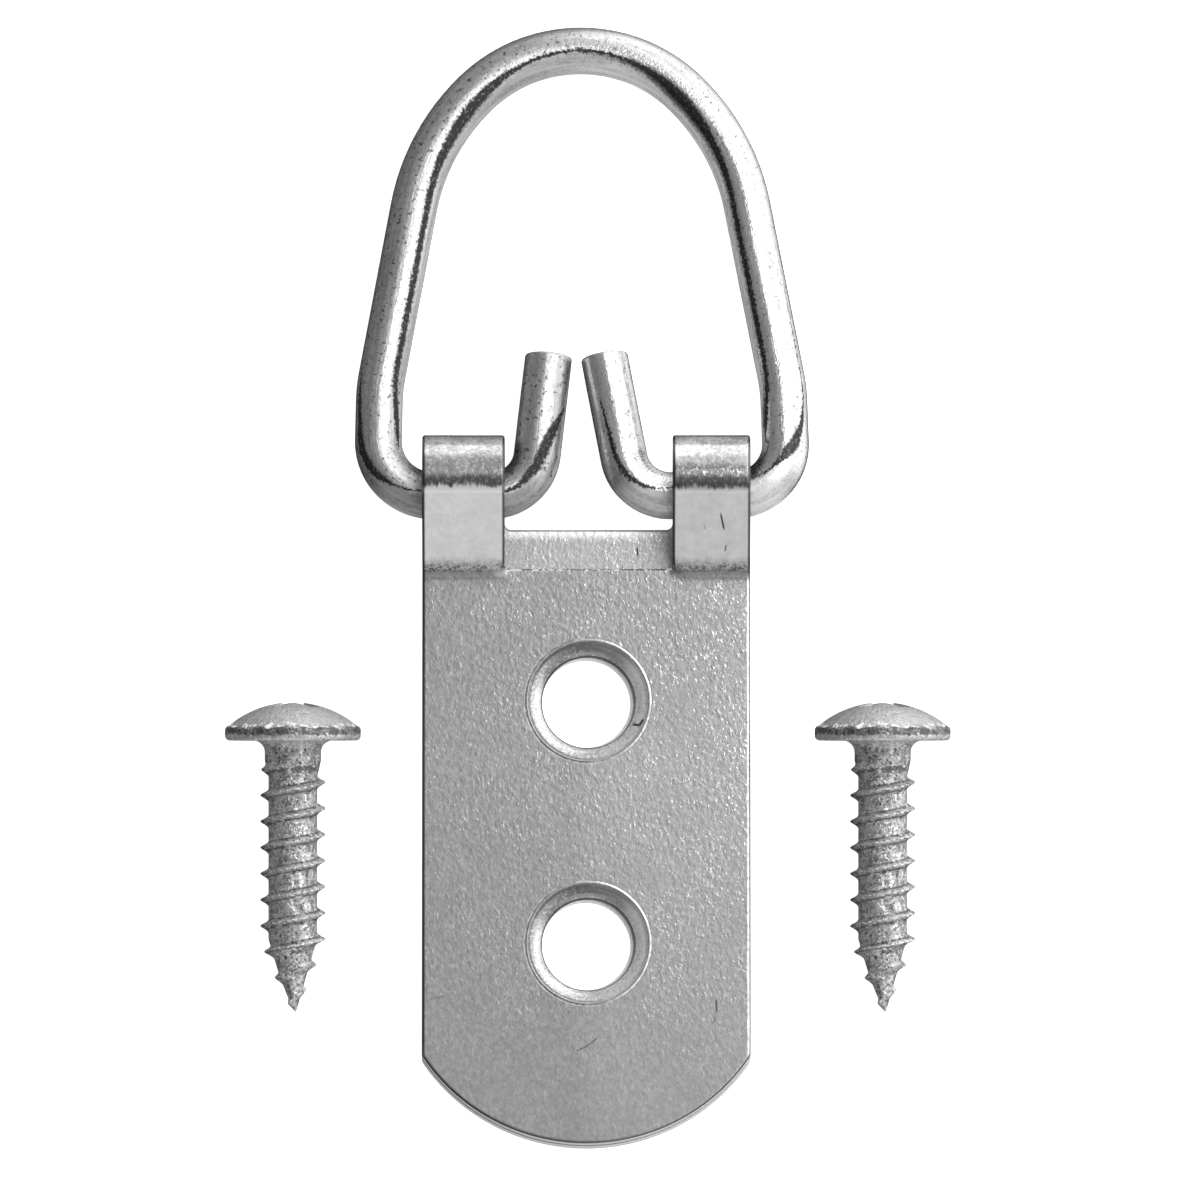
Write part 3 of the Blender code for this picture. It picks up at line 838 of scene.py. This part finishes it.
def sheet_finish():
    f = Finish("zinc_sheet")
    flat = f.attribute("sheet")
    slant, roll, back = f.split(f.attribute("zone"))
    edge, past_crest, past_foot = f.split(f.attribute("wear"))
    deep, round_x, round_y = f.split(f.attribute("dish"))
    lip, brow, toe = f.split(f.attribute("lip"))
    x, s, w = f.split(flat)
    plain = f.math("SUBTRACT", 1.0, f.math("MULTIPLY", slant, 0.95))

    # bright flecks of the plating's grain, leaning one way, gathered in drifts; painted light thins them toward the
    # lower left
    lean = f.node("ShaderNodeMapping", vector_type="POINT")
    f.feed(lean.inputs["Vector"], flat)
    lean.inputs["Rotation"].default_value = (0.0, 0.0, math.radians(35))
    lean.inputs["Scale"].default_value = (1.0, 0.70, 1.0)
    lean = lean.outputs[0]
    drift = f.noise(flat, 0.34, 3.0, 0.62)
    more = f.math("ADD", f.span(drift, 0.36, 0.64, -0.036, 0.036, False),
                  f.math("MULTIPLY", x, 0.0026))
    more = f.math("ADD", more, f.math("MULTIPLY", lip, 0.015))
    seed = f.math("ADD", f.noise(lean, 7.0, 1.2, 0.5), more)
    amount = f.math("MULTIPLY", f.span(s, 1.0, 12.0, 0.45, 1.0), f.span(x, -9.0, 7.0, 0.75, 1.0))
    plain = f.math("MULTIPLY", plain, f.math("SUBTRACT", 1.0, f.math("MULTIPLY", roll, 0.60)))
    plain = f.math("MULTIPLY", plain, f.span(lip, 0.0, 0.7, 1.0, 0.85))
    flecks = f.math("MULTIPLY", f.span(seed, 0.575, 0.78), f.math("MULTIPLY", plain, amount))
    fine = f.noise(flat, 4.2, 2.0, 0.6)
    emboss = f.noise(lean, 4.6, 2.5, 0.6)
    broad = f.noise(flat, 0.28, 3.0, 0.55)

    colour = f.mix(f.span(broad, 0.3, 0.7), (0.327, 0.329, 0.331), (0.347, 0.347, 0.345))
    # painted light: the plate is painted lighter on its right below the fold and darker toward the fold
    side = f.span(x, -1.0, 1.0)
    tone = f.mix(side, f.span(s, 20.0, 29.0, 0.0, -0.022), f.span(s, 19.0, 29.0, 0.040, -0.026))
    colour = f.vector("ADD", colour, tone)
    colour = f.mix(f.math("MULTIPLY", f.math("MULTIPLY", f.span(fine, 0.35, 0.75), 0.22), plain),
                   colour, 0.62)
    # slanted flats: a smoother rubbed finish, with painted shade making the right one darker
    mottle = f.noise(flat, 1.1, 4.0, 0.65)
    rubbed_and_shaded = f.mix(f.span(mottle, 0.35, 0.65), f.mix(f.span(x, -4.0, 6.0), 0.69, 0.60),
                   f.mix(f.span(x, -4.0, 6.0), 0.75, 0.68))
    rubbed_and_shaded = f.mix(f.math("MULTIPLY", f.span(f.noise(flat, 6.0, 2.0, 0.6), 0.55, 0.70), 0.35), rubbed_and_shaded, 0.50)
    colour = f.mix(f.math("MULTIPLY", slant, 0.9), colour, rubbed_and_shaded)
    # painted highlight: the knuckle's roll is painted lighter, most on the right tongue
    colour = f.mix(f.math("MULTIPLY", roll, 0.9), colour, f.mix(f.span(mottle, 0.38, 0.60), f.mix(side, 0.43, 0.55), f.mix(side, 0.66, 0.88)))
    # painted shade below the roll's highlight, deeper on the right tongue
    roll_painted_shade = f.mix(side, f.span(past_crest, 0.7, 2.3, 0.78, 0.0), f.span(past_crest, 0.82, 1.30, 0.95, 0.0))
    colour = f.mix(f.math("MULTIPLY", roll, roll_painted_shade), colour, f.mix(side, 0.30, 0.17))
    # the back leaf in the window: painted light makes it paler than the plate, painted shade darkens its right end,
    # and a painted highlight runs along its top edge
    colour = f.mix(f.span(lip, 0.0, 0.65, 0.0, 0.9), colour, f.mix(f.span(x, 1.5, 4.5), 0.43, 0.35))
    lip_painted_highlight = f.math("MULTIPLY", f.span(lip, 0.72, 1.0), f.span(x, 1.5, 4.5, 1.0, 0.3))
    colour = f.mix(f.math("MULTIPLY", lip_painted_highlight, 0.9), colour, 0.97)
    colour = f.mix(f.math("MULTIPLY", flecks, 0.54), colour, 0.86)
    # plating crazed along the crest's tight bend, with a painted highlight just under it; painted light and shade
    # about the foot's crease, with ragged dark specks in it
    comb = f.noise(f.vector("MULTIPLY", flat, (1.0, 0.25, 1.0)), 4.0, 3.0, 0.7)
    ragged = f.math("MULTIPLY", f.math("SUBTRACT", comb, 0.5), 0.95)
    past = f.math("ADD", past_crest, f.math("MULTIPLY", ragged, 0.55))
    past = f.math("SUBTRACT", past, f.span(x, -1.0, 1.0, 0.10, 0.03))
    craze = f.math("MULTIPLY", f.span(past, -0.09, 0.07), f.span(past, 0.23, 0.68, 1.0, 0.0))
    craze = f.math("MULTIPLY", craze, f.span(f.noise(flat, 6.0, 2.0, 0.6), 0.25, 0.5, 0.55, 1.0))
    # painted highlight: a pale line just under the crest, strongest on the left
    crest_painted_highlight = f.math("MULTIPLY", f.span(past_crest, -0.26, -0.14), f.span(past, -0.09, 0.03, 1.0, 0.0))
    crest_painted_highlight = f.math("MULTIPLY", crest_painted_highlight, f.span(x, -1.0, 1.0, 0.85, 0.35))
    colour = f.mix(crest_painted_highlight, colour, 0.80)
    colour = f.mix(f.math("MULTIPLY", craze, 0.92), colour, 0.05)
    crease_offset = f.math("ADD", f.math("ADD", past_foot, -0.40), f.math("MULTIPLY", ragged, 0.7))
    crease_blotch = f.noise(flat, 6.5, 2.0, 0.65)
    there = f.math("SUBTRACT", 1.0, f.math("MAXIMUM", back, brow))
    # painted light: the foot's bend is painted paler where its reflection turns dark
    foot_painted_light = f.math("MULTIPLY", f.span(past_foot, -0.35, -0.12), f.span(past_foot, 0.05, 0.32, 1.0, 0.0))
    colour = f.mix(f.math("MULTIPLY", f.math("MULTIPLY", foot_painted_light, there), 0.85), colour, 0.54)
    # painted shade: a broad faint darkening below the foot's crease
    darkening = f.math("MULTIPLY", f.span(past_foot, -1.3, -0.35), f.span(past_foot, -0.35, -0.1, 1.0, 0.0))
    darkening = f.math("MULTIPLY", f.math("MULTIPLY", darkening, there), f.span(x, -1.0, 1.0, 0.16, 0.28))
    colour = f.mix(darkening, colour, 0.15)
    # painted shade in the foot's crease, blotchy
    crease = f.math("MULTIPLY", f.span(crease_offset, -0.42, -0.02), f.span(crease_offset, 0.08, 0.90, 1.0, 0.0))
    crease = f.math("MULTIPLY", crease, there)
    crease = f.math("MULTIPLY", crease, f.span(crease_blotch, 0.38, 0.60, 0.45, 1.0))
    colour = f.mix(f.math("MULTIPLY", crease, 0.86), colour, 0.15)
    torn = f.math("MULTIPLY", f.span(f.math("ABSOLUTE", crease_offset), 0.10, 0.36, 1.0, 0.0),
                  f.span(crease_blotch, 0.52, 0.62))
    torn = f.math("MULTIPLY", torn, f.span(f.math("ABSOLUTE", x), 5.0, 8.3, 0.35, 1.0))
    colour = f.mix(f.math("MULTIPLY", f.math("MULTIPLY", torn, there), 0.80), colour, 0.04)
    # countersink: painted shade under the upper right of its rim
    shade = f.math("ADD", f.math("MULTIPLY", round_x, 0.35), f.math("MULTIPLY", round_y, 0.93))
    shade = f.math("MULTIPLY", f.span(shade, -0.10, 0.95), f.span(deep, 0.03, 0.12))
    shade = f.math("MULTIPLY", shade, f.span(deep, 0.15, 0.85, 1.0, 0.25))
    colour = f.mix(f.math("MULTIPLY", shade, 0.88), colour, 0.10)
    floor = f.span(deep, 0.02, 0.12)
    bead = f.math("MULTIPLY", f.span(deep, -0.02, -0.07), f.span(f.math("ABSOLUTE", round_x), 0.0, 0.001))
    bead = f.math("MAXIMUM", bead, f.math("MULTIPLY", f.span(deep, -0.02, -0.07), f.span(f.math("ABSOLUTE", round_y), 0.0, 0.001)))
    colour = f.mix(f.math("MULTIPLY", bead, f.span(fine, 0.40, 0.60, 0.35, 0.9)), colour, 0.80)
    # painted highlight on the countersink's left wall, near the hole
    white = f.math("MULTIPLY", f.span(deep, 0.35, 0.70), f.span(round_x, 0.3, -0.7))
    white = f.math("MULTIPLY", white, f.span(round_y, 0.1, 0.6, 1.0, 0.0))
    colour = f.mix(f.math("MULTIPLY", white, 0.85), colour, 0.92)
    # painted light on the countersink's right floor, made pale and dull
    shy = f.math("MULTIPLY", floor, f.span(round_x, -0.3, 0.5))
    shy = f.math("MULTIPLY", shy, f.span(round_y, 0.5, 0.95, 1.0, 0.3))
    colour = f.mix(f.math("MULTIPLY", shy, 0.9), colour, 0.62)
    dust = f.noise(flat, 7.0, 2.0, 0.6)
    worked = f.math("MAXIMUM", f.math("MULTIPLY", roll, f.math("SUBTRACT", 1.0, craze)),
                    f.math("MULTIPLY", floor, f.math("SUBTRACT", 1.0, f.math("MULTIPLY", shade, 0.8))))
    worked = f.math("MAXIMUM", worked, f.math("MULTIPLY", lip, 0.55))
    colour = f.mix(f.math("MULTIPLY", f.span(dust, 0.53, 0.66), f.math("MULTIPLY", worked, 0.45)), colour, 0.20)
    colour = f.mix(f.math("MULTIPLY", f.span(dust, 0.36, 0.47, 1.0, 0.0), f.math("MULTIPLY", worked, 0.40)),
                   colour, 0.92)
    # handling marks: (x, distance along the blank, lie, length, width, depth of grey)
    front_end = TOE_CENTRE_Y - FRONT_TOE_R
    foot_s = FOLD_FOOT_Y - front_end
    path = strap_path()
    lip_s = path.length - (14.75 - (TOE_CENTRE_Y - BACK_TOE_R))
    for mx, ms, lie, long, wide, tone in (
            (-0.20, -12.22 - front_end, 24, 0.75, 0.10, 0.55),
            (0.35, -11.86 - front_end, 40, 0.75, 0.10, 0.50),
            (6.92, -9.95 - front_end, 92, 0.85, 0.13, 0.65),
            (6.80, -10.75 - front_end, 60, 0.40, 0.10, 0.40),
            (0.50, 2.25 - front_end, 118, 0.65, 0.08, 0.40),
            (-7.90, -9.50 - front_end, 12, 0.80, 0.08, 0.35),
            (7.25, foot_s + 3.45, 100, 1.20, 0.12, 0.90),
            (7.42, foot_s + 1.75, 80, 0.45, 0.09, 0.75),
            (6.30, foot_s + 3.10, 95, 0.35, 0.08, 0.40),
            (2.66, 5.285 - front_end, -12, 0.45, 0.16, 0.98),
            (2.93, 5.41 - front_end, 57, 0.46, 0.15, 0.98),
            (2.73, lip_s, 86, 0.50, 0.10, 0.90)):
        colour = f.mix(f.math("MULTIPLY", f.stroke(flat, mx, ms, lie, long, wide), tone), colour, 0.03)
    # sheared edges: painted shade on the front leaf, painted light, pale and dull, on the back leaf;
    # the right side below the foot has a painted highlight inside its edge
    bright = f.math("MULTIPLY", f.span(x, 0.0, 1.0), f.span(past_foot, -0.6, 0.0, 1.0, 0.0))
    bright = f.math("MULTIPLY", bright, f.math("SUBTRACT", 1.0, floor))
    thin = f.math("MAXIMUM", bright, toe)
    wall = f.mix(thin, f.span(edge, 0.0, 0.30), f.span(edge, 0.55, 0.78))
    right_edge_painted_highlight = f.math("MULTIPLY", f.math("MULTIPLY", bright, f.math("SUBTRACT", 1.0, toe)), f.math("MULTIPLY", f.span(edge, 0.0, 0.05), f.span(edge, 0.48, 0.66, 1.0, 0.0)))
    colour = f.mix(f.math("MULTIPLY", right_edge_painted_highlight, f.span(fine, 0.40, 0.62, 0.35, 1.0)), colour, 0.95)
    wall = f.math("MULTIPLY", wall, f.span(brow, 0.0, 1.0, 1.0, 0.25))
    # pale bits broken along the front leaf's edge at the window
    brow_pale_bits = f.math("MULTIPLY", f.math("MULTIPLY", brow, f.span(edge, 0.05, 0.35)),
                  f.span(f.noise(flat, 3.4, 2.0, 0.6), 0.50, 0.57))
    rim_line = f.math("MULTIPLY", f.span(edge, 0.35, 0.60), f.span(edge, 0.84, 0.97, 1.0, 0.0))
    dark_wall = f.math("MULTIPLY", f.mix(toe, wall, rim_line), f.math("SUBTRACT", 1.0, back))
    low_wall = f.math("MULTIPLY", toe, f.span(edge, 0.86, 0.98))
    pale_wall = f.math("MAXIMUM", f.math("MULTIPLY", wall, back), low_wall)
    colour = f.mix(f.math("MULTIPLY", dark_wall, 0.85), colour, 0.08)
    bored = f.math("MULTIPLY", f.span(f.math("ABSOLUTE", x), 4.0, 6.0, 1.0, 0.0),
                   f.math("SUBTRACT", 1.0, f.math("MAXIMUM", toe, f.span(lip, 0.0, 0.3))))
    colour = f.mix(f.math("MULTIPLY", pale_wall, 0.9), colour, f.mix(bored, f.mix(toe, 0.42, 0.72), 0.96))

    colour = f.mix(f.math("MULTIPLY", brow_pale_bits, 0.9), colour, 0.92)

    rough = f.math("ADD", f.span(fine, 0.3, 0.7, 0.34, 0.42), f.math("MULTIPLY", flecks, -0.12))
    rough = f.math("ADD", rough, f.math("MULTIPLY", craze, 0.12))
    rough = f.math("SUBTRACT", rough, f.math("MULTIPLY", roll, 0.14))
    metal = f.math("SUBTRACT", 1.0, f.math("MULTIPLY", pale_wall, 0.8))
    metal = f.math("SUBTRACT", metal, f.math("MULTIPLY", f.math("MAXIMUM", f.math("MAXIMUM", shy, brow_pale_bits), crest_painted_highlight), 0.80))
    rough = f.math("SUBTRACT", rough, f.math("MULTIPLY", bead, 0.20))
    f.set(Base_Color=colour, Roughness=rough, Metallic=metal)
    plain = f.math("MULTIPLY", plain, f.math("SUBTRACT", 1.0, bead))
    grain = f.math("ADD", f.math("MULTIPLY", emboss, 1.6), f.math("MULTIPLY", flecks, 0.35))
    grain = f.math("MULTIPLY", grain, f.math("MULTIPLY", plain, f.span(amount, 0.3, 1.0, 0.45, 1.0)))
    grain = f.math("MULTIPLY", grain, f.span(drift, 0.38, 0.60, 0.85, 1.05))
    f.set(Normal=f.bump(grain, 0.44, 0.00003))
    return f.mat


def wire_finish():
    f = Finish("zinc_wire")
    wire = f.attribute("wire")
    u, up, inward = f.split(wire)
    middle = Path([p for p, _ in RING_BENDS], [r for _, r in RING_BENDS]).length / 2
    right = f.span(u, middle - 5.0, middle + 4.0)
    cos_a, sin_a, wide_a = f.split(f.attribute("streak"))
    cos_b, sin_b, wide_b = f.split(f.attribute("trail"))
    crown, feet, loop = f.split(f.attribute("stretch"))
    drawn = f.join(f.math("MULTIPLY", u, 0.12), f.math("MULTIPLY", up, 2.2),
                   f.math("MULTIPLY", inward, 2.2))
    lines = f.noise(drawn, 2.0, 3.0, 0.6)
    spots = f.noise(wire, 2.6, 3.0, 0.7)
    grit = f.noise(wire, 6.5, 2.0, 0.6)
    ragged = f.math("ADD", f.math("MULTIPLY", f.math("SUBTRACT", f.noise(wire, 2.2, 4.0, 0.75), 0.5), 0.22),
                    f.math("MULTIPLY", f.math("SUBTRACT", grit, 0.5), 0.52))

    def mark(cos_d, sin_d, wide):
        """Signed angle off a mark's middle, and the mark's mask."""
        off = f.math("ADD", f.math("ARCTAN2", sin_d, cos_d), f.math("MULTIPLY", ragged, 0.6))
        size = f.math("ABSOLUTE", off)
        mask = f.span(size, f.math("MULTIPLY", wide, 0.55), f.math("MULTIPLY", wide, 1.15), 1.0, 0.0)
        return off, f.math("MULTIPLY", mask, f.span(wide, 0.004, 0.025))

    off_a, dark_a = mark(cos_a, sin_a, wide_a)
    off_b, dark_b = mark(cos_b, sin_b, wide_b)
    broken = f.span(grit, 0.28, 0.46, 0.72, 1.0)
    dark = f.math("MULTIPLY", f.math("MAXIMUM", dark_a, dark_b), broken)

    # painted reflection: the inside of the loop and the undersides of the feet are painted pale and dull
    begins = f.math("MULTIPLY", wide_a, 1.2)
    floor_painted_reflection = f.math("MULTIPLY", f.span(off_a, begins, f.math("ADD", begins, 0.16)), loop)
    under = f.math("MULTIPLY", f.span(off_b, -0.22, -0.05, 1.0, 0.0), feet)
    floor_painted_reflection = f.math("MAXIMUM", floor_painted_reflection, under)
    floor_painted_reflection = f.math("MULTIPLY", floor_painted_reflection, f.span(spots, 0.25, 0.6, 0.75, 1.0))
    dull = f.math("MULTIPLY", f.span(off_a, -0.78, -0.62, 1.0, 0.0), crown)

    # painted shade: the left half of the ring is painted darker than the right, with heavier dark clouds and specks
    colour = f.mix(f.span(lines, 0.35, 0.65), f.mix(right, 0.52, 0.68), f.mix(right, 0.68, 0.80))
    colour = f.mix(f.math("MULTIPLY", dull, 0.9), colour, 0.46)
    cloud = f.span(f.noise(wire, 3.2, 3.0, 0.7), 0.42, 0.62)
    colour = f.mix(f.math("MULTIPLY", cloud, f.span(right, 0.0, 1.0, 0.40, 0.22)), colour, 0.36)
    speck = f.span(f.noise(wire, 5.0, 2.0, 0.6), f.span(right, 0.0, 1.0, 0.590, 0.605), 0.68)
    colour = f.mix(f.math("MULTIPLY", speck, f.span(right, 0.0, 1.0, 0.92, 0.7)), colour, 0.10)
    pale = f.mix(f.span(grit, 0.35, 0.65), f.mix(right, 0.22, 0.50), f.mix(right, 0.36, 0.70))
    colour = f.mix(floor_painted_reflection, colour, f.mix(f.span(lines, 0.38, 0.62), pale, f.mix(right, 0.44, 0.78)))
    colour = f.mix(f.math("MULTIPLY", dark, 0.96), colour, 0.03)

    rough = f.math("ADD", f.span(spots, 0.3, 0.7, 0.18, 0.28), f.span(right, 0.0, 1.0, 0.15, 0.0))
    rough = f.math("ADD", rough, f.math("MULTIPLY", floor_painted_reflection, 0.22))
    rough = f.math("ADD", rough, f.math("MULTIPLY", dark, 0.20))
    metal = f.math("SUBTRACT", 1.0, f.math("MULTIPLY", floor_painted_reflection, 0.80))
    f.set(Base_Color=colour, Roughness=rough, Metallic=metal)
    height = f.math("ADD", lines, f.math("MULTIPLY", spots, 0.5))
    height = f.math("ADD", height, f.math("MULTIPLY", grit, 0.8))
    f.set(Normal=f.bump(height, 0.42, 0.00005))
    return f.mat


def screw_finish():
    f = Finish("zinc_screw")
    turned = f.attribute("turned")
    x, y, z = f.split(turned)
    fine = f.noise(turned, 6.0, 3.0, 0.65)
    blot = f.noise(turned, 2.3, 3.0, 0.68)
    grit = f.noise(f.vector("ADD", turned, (9.0, 4.0, 2.0)), 7.0, 2.0, 0.6)
    colour = f.mix(f.span(blot, 0.40, 0.58), (0.29, 0.29, 0.29), (0.58, 0.58, 0.575))
    colour = f.mix(f.math("MULTIPLY", f.span(grit, 0.56, 0.63), 0.90), colour, 0.04)
    colour = f.mix(f.span(fine, 0.59, 0.64), colour, 0.99)
    # bright crests from wear, painted shade at the foot of each flank
    out_r = f.math("POWER", f.math("ADD", f.math("MULTIPLY", x, x), f.math("MULTIPLY", y, y)), 0.5)
    shank = f.span(z, -1.3, -0.9, 1.0, 0.0)
    crest = f.math("MULTIPLY", f.span(out_r, 1.52, 1.62), shank)
    flank = f.math("MULTIPLY", f.span(out_r, 1.34, 1.38), f.span(out_r, 1.42, 1.50, 1.0, 0.0))
    flank = f.math("MULTIPLY", flank, shank)
    colour = f.mix(f.math("MULTIPLY", flank, 0.75), colour, 0.08)
    colour = f.mix(f.math("MULTIPLY", crest, f.span(fine, 0.36, 0.52)), colour, 0.98)
    # the dome is lighter, the band under it darker in blotches above a lighter lower edge
    dome = f.span(z, 0.74, 0.84)
    colour = f.mix(f.math("MULTIPLY", dome, 0.70), colour, (0.58, 0.58, 0.58))
    darkening = f.noise(turned, 1.7, 3.0, 0.6)
    height = f.math("ADD", z, f.math("MULTIPLY", f.math("SUBTRACT", darkening, 0.5), 0.65))
    low_rim = f.math("MULTIPLY", f.span(z, -0.30, -0.05), f.span(height, 0.24, 0.40, 1.0, 0.0))
    colour = f.mix(f.math("MULTIPLY", low_rim, 0.55), colour, 0.72)
    band = f.math("MULTIPLY", f.span(height, 0.28, 0.42), f.span(height, 0.68, 0.78, 1.0, 0.0))
    colour = f.mix(f.math("MULTIPLY", band, f.span(blot, 0.42, 0.54, 0.15, 0.88)), colour, 0.07)
    # a painted highlight where the dome meets the rim, broken up
    brink = f.math("MULTIPLY", f.span(height, 0.70, 0.78), f.span(height, 0.86, 0.97, 1.0, 0.0))
    brink = f.math("MULTIPLY", brink, f.span(blot, 0.49, 0.57))
    colour = f.mix(brink, colour, 1.0)
    # painted shade, deeper down the cross recess
    sunk, _, _ = f.split(f.attribute("cut"))
    colour = f.mix(f.span(sunk, 0.0, 1.0, 0.0, 0.75), colour, 0.16)
    rough = f.span(fine, 0.3, 0.7, 0.26, 0.40)
    spark = f.math("MULTIPLY", shank, f.span(f.noise(turned, 3.4, 2.0, 0.6), 0.55, 0.62))
    shine = f.math("MAXIMUM", crest, spark)
    colour = f.mix(f.math("MULTIPLY", spark, 0.8), colour, 0.97)
    rough = f.math("SUBTRACT", rough, f.math("MULTIPLY", shine, 0.16))
    metal = f.math("ADD", f.span(dome, 0.0, 1.0, 0.62, 0.66), f.math("MULTIPLY", shine, 0.32))
    metal = f.math("SUBTRACT", metal, f.math("MULTIPLY", brink, 0.55))
    f.set(Base_Color=colour, Roughness=rough, Metallic=metal)
    f.set(Normal=f.bump(f.math("ADD", fine, f.math("MULTIPLY", blot, 0.8)), 0.75, 0.00010))
    return f.mat


# ---------------------------------------------------------------- the pieces
strap = build_strap()
strap.data.materials.append(sheet_finish())
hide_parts("strap")
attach(strap, "strap")

ring = build_ring()
ring.data.materials.append(wire_finish())
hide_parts("d_ring")
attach(ring, "ring")

screw_mat = screw_finish()
for piece, node, body, x, roll in (("screw_left_turned", "screw_left", "left_screw", SCREW_X[0], 0.0),
                                   ("screw_right_turned", "screw_right", "right_screw", SCREW_X[1], 0.0)):
    screw = build_screw(piece, x, roll)
    screw.data.materials.clear()
    screw.data.materials.append(screw_mat)
    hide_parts(node)
    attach(screw, body)


# ------------------------------------------------------- stage, light, camera
def build_stage():
    bm = bmesh.new()
    bmesh.ops.create_grid(bm, x_segments=4, y_segments=4, size=0.5)
    mesh = bpy.data.meshes.new("floor")
    bm.to_mesh(mesh)
    bm.free()
    floor = bpy.data.objects.new("floor", mesh)
    floor.location = (0.0, 0.0, -0.00002)
    bpy.context.scene.collection.objects.link(floor)
    f = Finish("pale_floor")
    f.set(Base_Color=(0.92, 0.92, 0.92, 1.0), Roughness=0.7)
    f.bsdf.inputs["Emission Color"].default_value = (1.0, 1.0, 1.0, 1.0)
    f.bsdf.inputs["Emission Strength"].default_value = 0.86
    mesh.materials.append(f.mat)
    floor.visible_glossy = False


def build_light():
    world = bpy.data.worlds.new("studio")
    bpy.context.scene.world = world
    world.use_nodes = True
    f = Finish.__new__(Finish)
    f.tree = world.node_tree
    out = f.tree.nodes["Background"]
    dx, dy, dz = f.split(f.node("ShaderNodeTexCoord").outputs["Generated"])
    # wide white box to the right and a little up the picture, dark at the left
    lean = f.math("ADD", f.math("MULTIPLY", dx, 0.98), f.math("MULTIPLY", dy, 0.10))
    level = f.math("ADD", f.span(lean, -0.80, 0.05, 0.22, 0.47, False),
                   f.math("MULTIPLY", f.span(lean, -0.05, 0.32), 1.10))
    # a strip beyond the picture's top; in front a dark gap and a low strip
    strip = f.math("MULTIPLY", f.span(dy, 0.82, 0.93), f.span(dz, -0.25, 0.0))
    strip = f.math("MULTIPLY", strip, f.span(dx, -0.4, 0.3, 0.55, 1.0))
    level = f.math("ADD", level, f.math("MULTIPLY", strip, 0.95))
    front = f.math("MULTIPLY", dy, -1.0)
    level = f.math("MULTIPLY", level, f.span(front, 0.10, 0.45, 1.0, 0.45))
    level = f.math("ADD", level, f.math("MULTIPLY", f.span(front, 0.72, 0.92), 0.78))
    under = f.span(dz, -0.92, -0.62, 0.10, 1.0)
    level = f.math("MULTIPLY", level, under)
    level = f.math("MULTIPLY", level, f.span(dz, -0.60, -0.20, 0.60, 1.0))
    # the backdrop itself is plain and pale
    seen = f.node("ShaderNodeLightPath").outputs["Is Camera Ray"]
    level = f.math("ADD", f.math("MULTIPLY", level, f.math("SUBTRACT", 1.0, seen)),
                   f.math("MULTIPLY", seen, 1.0))
    f.feed(out.inputs["Color"], f.join(level, level, level))
    out.inputs["Strength"].default_value = 1.0


def build_box():
    """A near soft box over the upper right, for the fall-off across the strap."""
    box = bpy.data.lights.new("soft_box", "AREA")
    box.shape = "DISK"
    box.size = 46 * MM
    box.energy = 0.0185
    ob = bpy.data.objects.new("soft_box", box)
    ob.location = (31 * MM, 47 * MM, 95 * MM)
    ob.rotation_euler = (Vector((8, 10, 0)) - Vector((31, 47, 95))).to_track_quat("-Z", "Y").to_euler()
    ob.visible_camera = False
    bpy.context.scene.collection.objects.link(ob)


def build_camera():
    lean = math.radians(10.3)
    distance = 1500.0
    cam = bpy.data.cameras.new("camera")
    cam.sensor_width = 36.0
    cam.lens = 36.0 * distance / 64.0
    cam.clip_start = 0.005
    cam.clip_end = 10.0
    ob = bpy.data.objects.new("camera", cam)
    aim = Vector((0.73, 11.81 / math.cos(lean), 1.5))
    ob.location = (aim + distance * Vector((0.0, -math.sin(lean), math.cos(lean)))) * MM
    ob.rotation_euler = (lean, 0.0, 0.0)
    bpy.context.scene.collection.objects.link(ob)
    bpy.context.scene.camera = ob


build_stage()
build_light()
build_box()
build_camera()
bpy.context.scene.view_settings.view_transform = "Standard"

bpy.context.view_layer.update()
